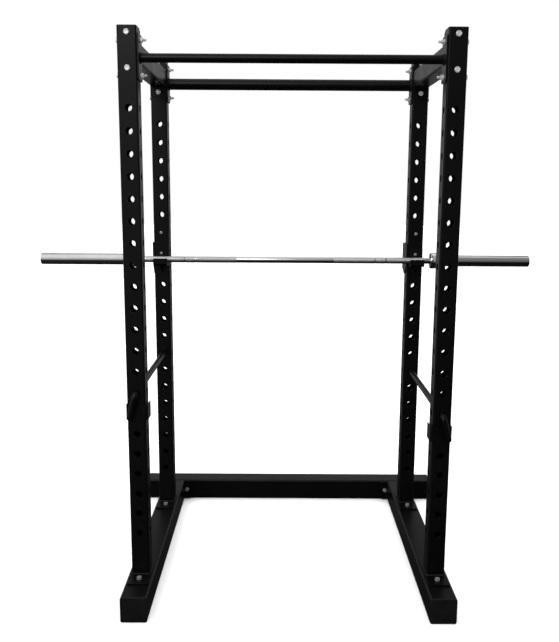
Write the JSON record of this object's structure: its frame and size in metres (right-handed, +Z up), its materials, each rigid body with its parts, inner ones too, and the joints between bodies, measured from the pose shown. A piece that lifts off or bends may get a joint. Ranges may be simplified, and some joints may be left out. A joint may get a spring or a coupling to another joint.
{
  "type": "power cage",
  "caption": "Four-post power cage on a floor frame, with punched uprights, thin and fat pull-up bars, saddle safety rods, J-hooks and a racked barbell with spinning sleeves",
  "frame": {"origin": "point on the floor midway between the side rails in X and midway along the base in Y", "axes": "+Z up; the open front of the cage faces -Y; +X is to the right as seen from the front"},
  "size_m": [2.2, 1.287, 2.156],
  "materials": {
    "powder_coat": "satin black powder coat",
    "cap_plastic": "moulded black plastic",
    "liner": "dense black wear pad",
    "zinc": "bright zinc plate",
    "chrome": "bright hard chrome, knurled on the grip",
    "bronze": "sintered bronze bushing"
  },
  "bodies": {
    "frame": {"left_base_rail": "powder_coat", "right_base_rail": "powder_coat", "left_rail_flange": "powder_coat", "right_rail_flange": "powder_coat", "rear_crossmember": "powder_coat", "front_left_upright": "powder_coat", "front_right_upright": "powder_coat", "rear_left_upright": "powder_coat", "rear_right_upright": "powder_coat", "front_left_foot_plate": "powder_coat", "front_right_foot_plate": "powder_coat", "rear_left_foot_plate": "powder_coat", "rear_right_foot_plate": "powder_coat", "left_side_beam": "powder_coat", "right_side_beam": "powder_coat", "left_beam_flanges": "powder_coat", "right_beam_flanges": "powder_coat", "front_pullup_bar": "powder_coat", "rear_pullup_bar": "powder_coat", "front_bar_flanges": "powder_coat", "rear_bar_flanges": "powder_coat", "front_left_upright_cap": "cap_plastic", "front_right_upright_cap": "cap_plastic", "rear_left_upright_cap": "cap_plastic", "rear_right_upright_cap": "cap_plastic", "left_rail_cap": "cap_plastic", "right_rail_cap": "cap_plastic", "left_crossmember_cap": "cap_plastic", "right_crossmember_cap": "cap_plastic", "top_bolts": "zinc", "top_washers": "zinc", "top_nuts": "zinc", "foot_bolts": "zinc", "foot_washers": "zinc", "foot_weld_nuts": "zinc", "base_bolts": "zinc", "base_washers": "zinc", "base_nuts": "zinc"},
    "left_hook": {"left_j_hook": "powder_coat", "left_hook_pin": "powder_coat", "left_hook_liner": "liner", "left_hook_screws": "zinc"},
    "right_hook": {"right_j_hook": "powder_coat", "right_hook_pin": "powder_coat", "right_hook_liner": "liner", "right_hook_screws": "zinc"},
    "barbell": {"barbell_shaft": "chrome", "barbell_snap_rings": "zinc"},
    "left_sleeve_unit": {"left_sleeve": "chrome", "left_bushings": "bronze", "left_sleeve_plug": "cap_plastic"},
    "right_sleeve_unit": {"right_sleeve": "chrome", "right_bushings": "bronze", "right_sleeve_plug": "cap_plastic"},
    "left_safety": {"left_safety_rod": "powder_coat", "left_saddle": "powder_coat"},
    "right_safety": {"right_safety_rod": "powder_coat", "right_saddle": "powder_coat"}
  },
  "joints": [
    {"name": "left_hook_draw", "type": "slide", "parent": "frame", "child": "left_hook", "axis": [0, -1, 0], "range_m": [0, 0.1]},
    {"name": "right_hook_draw", "type": "slide", "parent": "frame", "child": "right_hook", "axis": [0, -1, 0], "range_m": [0, 0.1]},
    {"name": "barbell_lift", "type": "slide", "parent": "left_hook", "child": "barbell", "axis": [0, 0, 1], "range_m": [0, 0.12]},
    {"name": "left_sleeve_spin", "type": "hinge", "parent": "barbell", "child": "left_sleeve_unit", "pos_m": [-0.892, 0.21, 1.2783], "axis": [1, 0, 0], "continuous": true},
    {"name": "right_sleeve_spin", "type": "hinge", "parent": "barbell", "child": "right_sleeve_unit", "pos_m": [0.862, 0.21, 1.2783], "axis": [1, 0, 0], "continuous": true},
    {"name": "left_rod_draw", "type": "slide", "parent": "frame", "child": "left_safety", "axis": [0, -1, 0], "range_m": [0, 0.83]},
    {"name": "right_rod_draw", "type": "slide", "parent": "frame", "child": "right_safety", "axis": [0, -1, 0], "range_m": [0, 0.83]}
  ],
  "couplings": [
    {"joint": "right_hook_draw", "follows": "left_hook_draw", "ratio": 1}
  ]
}
